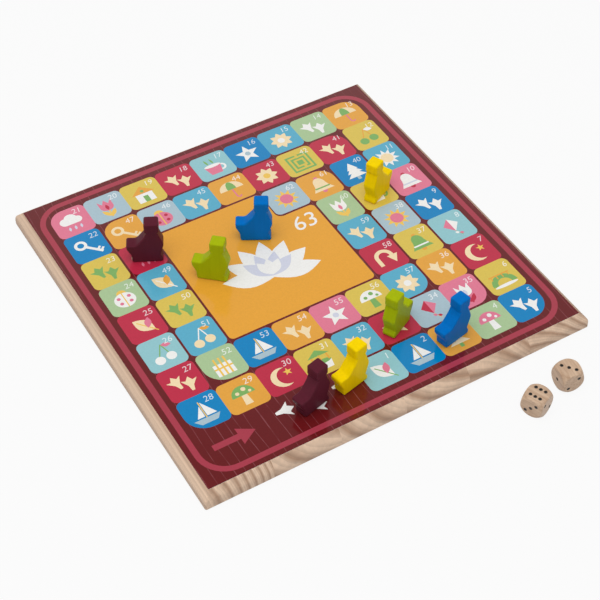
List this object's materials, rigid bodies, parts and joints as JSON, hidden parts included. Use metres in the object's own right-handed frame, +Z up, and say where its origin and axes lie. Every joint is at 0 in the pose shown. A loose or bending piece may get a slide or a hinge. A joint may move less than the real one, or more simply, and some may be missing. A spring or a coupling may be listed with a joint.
{
  "type": "game of the goose board",
  "caption": "Square bevelled wooden game board with a printed spiral track of numbered tiles, loose goose-shaped pawns in several colours and loose round-cornered dice.",
  "frame": {"origin": "centre of the board's underside, on the table that the board lies on", "axes": "+X along the front edge, across the staves; +Y along the grain to the back; +Z up"},
  "size_m": [0.3, 0.3498, 0.0484],
  "materials": {
    "pine": "sanded and clear varnished",
    "printed_sheet": "gloss film",
    "maroon_lacquer": "gloss lacquer",
    "blue_lacquer": "gloss lacquer",
    "green_lacquer": "gloss lacquer",
    "yellow_lacquer": "gloss lacquer",
    "dice_wood": "satin, black pips"
  },
  "bodies": {
    "board": {"stave_1": "pine", "stave_2": "pine", "stave_3": "pine", "stave_4": "pine", "stave_5": "pine", "stave_6": "pine", "printed_sheet": "printed_sheet"},
    "maroon_pawn_1": {"maroon_pawn_1": "maroon_lacquer"},
    "maroon_pawn_2": {"maroon_pawn_2": "maroon_lacquer"},
    "blue_pawn_1": {"blue_pawn_1": "blue_lacquer"},
    "blue_pawn_2": {"blue_pawn_2": "blue_lacquer"},
    "green_pawn_1": {"green_pawn_1": "green_lacquer"},
    "green_pawn_2": {"green_pawn_2": "green_lacquer"},
    "yellow_pawn_1": {"yellow_pawn_1": "yellow_lacquer"},
    "yellow_pawn_2": {"yellow_pawn_2": "yellow_lacquer"},
    "die_1": {"die_1": "dice_wood"},
    "die_2": {"die_2": "dice_wood"}
  },
  "joints": [
    {"name": "maroon_pawn_1_lift", "type": "slide", "parent": "board", "child": "maroon_pawn_1", "axis": [0, 0, 1], "range_m": [0, 0.06]},
    {"name": "maroon_pawn_2_lift", "type": "slide", "parent": "board", "child": "maroon_pawn_2", "axis": [0, 0, 1], "range_m": [0, 0.06]},
    {"name": "blue_pawn_1_lift", "type": "slide", "parent": "board", "child": "blue_pawn_1", "axis": [0, 0, 1], "range_m": [0, 0.06]},
    {"name": "blue_pawn_2_lift", "type": "slide", "parent": "board", "child": "blue_pawn_2", "axis": [0, 0, 1], "range_m": [0, 0.06]},
    {"name": "green_pawn_1_lift", "type": "slide", "parent": "board", "child": "green_pawn_1", "axis": [0, 0, 1], "range_m": [0, 0.06]},
    {"name": "green_pawn_2_lift", "type": "slide", "parent": "board", "child": "green_pawn_2", "axis": [0, 0, 1], "range_m": [0, 0.06]},
    {"name": "yellow_pawn_1_lift", "type": "slide", "parent": "board", "child": "yellow_pawn_1", "axis": [0, 0, 1], "range_m": [0, 0.06]},
    {"name": "yellow_pawn_2_lift", "type": "slide", "parent": "board", "child": "yellow_pawn_2", "axis": [0, 0, 1], "range_m": [0, 0.06]},
    {"name": "die_1_lift", "type": "slide", "parent": "board", "child": "die_1", "axis": [0, 0, 1], "range_m": [0, 0.06]},
    {"name": "die_2_lift", "type": "slide", "parent": "board", "child": "die_2", "axis": [0, 0, 1], "range_m": [0, 0.06]}
  ]
}
